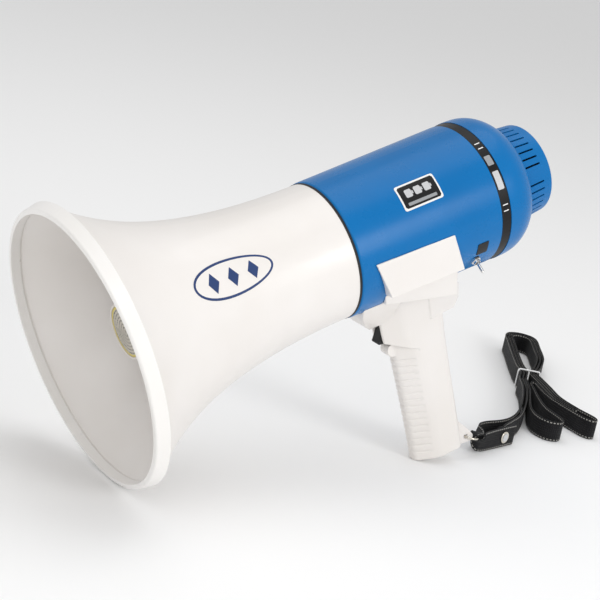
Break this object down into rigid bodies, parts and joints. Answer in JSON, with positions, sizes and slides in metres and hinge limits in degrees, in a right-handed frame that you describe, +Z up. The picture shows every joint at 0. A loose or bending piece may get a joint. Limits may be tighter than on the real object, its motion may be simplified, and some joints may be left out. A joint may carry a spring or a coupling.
{
  "type": "megaphone",
  "caption": "Hand-held cheering megaphone: white flared horn, blue body, pistol grip with trigger and a folded wrist strap.",
  "frame": {"origin": "centre of the megaphone's footprint on the floor it stands on, without the strap", "axes": "+Z up as it stands on its mouth rim and the toe of its grip, +X from the mouth towards the microphone end, +Y to the right of somebody speaking into it"},
  "size_m": [0.7601, 0.3893, 0.3088],
  "materials": {
    "white_plastic": "warm white moulded plastic, satin",
    "rim_plastic": "bright white moulded plastic, satin",
    "inner_white_plastic": "warm white moulded plastic",
    "blue_plastic": "glossy blue moulded plastic",
    "black_plastic": "black moulded plastic",
    "cap_plastic": "blue moulded plastic, satin",
    "trigger_plastic": "black moulded plastic",
    "plunger_plastic": "moulded plastic",
    "knob_plastic": "black moulded plastic with fine ribs",
    "gasket_rubber": "black rubber",
    "foam": "open-cell foam",
    "badge": null,
    "label": null,
    "switch_label": "printed plate, black",
    "chrome": "polished",
    "steel": "plated steel",
    "nickel": "nickel plated",
    "magnet": "ferrite",
    "diaphragm": "thin formed sheet",
    "copper": "enamelled winding",
    "brass": "sprung contact strip",
    "circuit_board": "laminate",
    "transformer": "laminated core with a wound bobbin",
    "aluminium": "extruded fins",
    "capacitor": "sleeved cans",
    "cell": "plain sleeved dry cells",
    "lug_plastic": "warm white moulded plastic",
    "webbing": "woven black webbing with a grey thread along each edge",
    "tie_plastic": "white plastic-covered wire"
  },
  "bodies": {
    "housing": {"amplifier_board": "circuit_board", "amplifier_capacitors": "capacitor", "battery_cell_1": "cell", "battery_cell_2": "cell", "battery_cell_3": "cell", "battery_cell_4": "cell", "battery_cell_5": "cell", "battery_cell_6": "cell", "battery_cell_7": "cell", "battery_cell_8": "cell", "battery_holder": "black_plastic", "body_shell": "blue_plastic", "contact_plates": "brass", "driver_basket": "steel", "driver_diaphragm": "diaphragm", "driver_magnet": "magnet", "driver_screws": "steel", "driver_top_plate": "steel", "driver_yoke": "steel", "handle_left": "white_plastic", "handle_right": "white_plastic", "handle_screws": "steel", "heat_sink": "aluminium", "horn_bell": "white_plastic", "horn_rim": "rim_plastic", "joint_gasket": "gasket_rubber", "label_plate": "label", "output_transformer": "transformer", "plug_badge": "badge", "reflex_plug": "inner_white_plastic", "rivet_washer": "steel", "saddle_screws": "steel", "strap": "webbing", "strap_lug": "lug_plastic", "strap_rivet": "nickel", "strap_tie": "tie_plastic", "switch_label": "switch_label", "talk_switch_body": "black_plastic", "talk_switch_screws": "steel", "talk_switch_terminals": "brass", "toggle_body": "black_plastic", "toggle_bushing": "chrome", "toggle_nut": "chrome", "tone_arm": "white_plastic", "trigger_pin": "steel", "trigger_spring": "steel", "voice_coil": "copper", "volume_nut": "steel", "volume_pot": "steel"},
    "trigger": {"trigger": "trigger_plastic"},
    "talk_plunger": {"talk_switch_plunger": "plunger_plastic"},
    "toggle": {"toggle_lever": "chrome"},
    "volume": {"volume_knob": "knob_plastic"},
    "lock_ring": {"lock_band": "black_plastic"},
    "rear_unit": {"rear_cover": "blue_plastic", "mic_cap": "cap_plastic", "mic_foam": "foam", "mic_capsule": "steel", "mic_holder": "black_plastic"},
    "ring": {"strap_ring": "nickel"}
  },
  "joints": [
    {"name": "trigger_press", "type": "hinge", "parent": "housing", "child": "trigger", "pos_m": [0.10355, 0, 0.13193], "axis": [0, -1, 0], "range_deg": [0, 12], "stiffness_Nm_per_rad": 0.05, "springref_deg": -8.59},
    {"name": "talk_plunger_travel", "type": "slide", "parent": "housing", "child": "talk_plunger", "axis": [0.9259, 0, 0.3778], "range_m": [0, 0.0016]},
    {"name": "toggle_flip", "type": "hinge", "parent": "housing", "child": "toggle", "pos_m": [0.14067, -0.05243, 0.19977], "axis": [0.3094, 0.5736, -0.7585], "range_deg": [0, 24]},
    {"name": "volume_turn", "type": "hinge", "parent": "housing", "child": "volume", "pos_m": [0.14067, 0.05243, 0.19977], "axis": [0.2167, 0.8192, -0.5311], "range_deg": [0, 300]},
    {"name": "lock_ring_twist", "type": "hinge", "parent": "housing", "child": "lock_ring", "pos_m": [0.15273, 0, 0.24434], "axis": [0.9259, 0, 0.3778], "range_deg": [0, 25]},
    {"name": "rear_cover_pull", "type": "slide", "parent": "housing", "child": "rear_unit", "axis": [0.9259, 0, 0.3778], "range_m": [0, 0.06]},
    {"name": "strap_ring_swing", "type": "hinge", "parent": "housing", "child": "ring", "pos_m": [0.22143, 0, 0.01931], "axis": [0, 1, 0], "range_deg": [-6, 6]}
  ],
  "couplings": [
    {"joint": "talk_plunger_travel", "follows": "trigger_press", "m_per_rad": 0.00763}
  ]
}
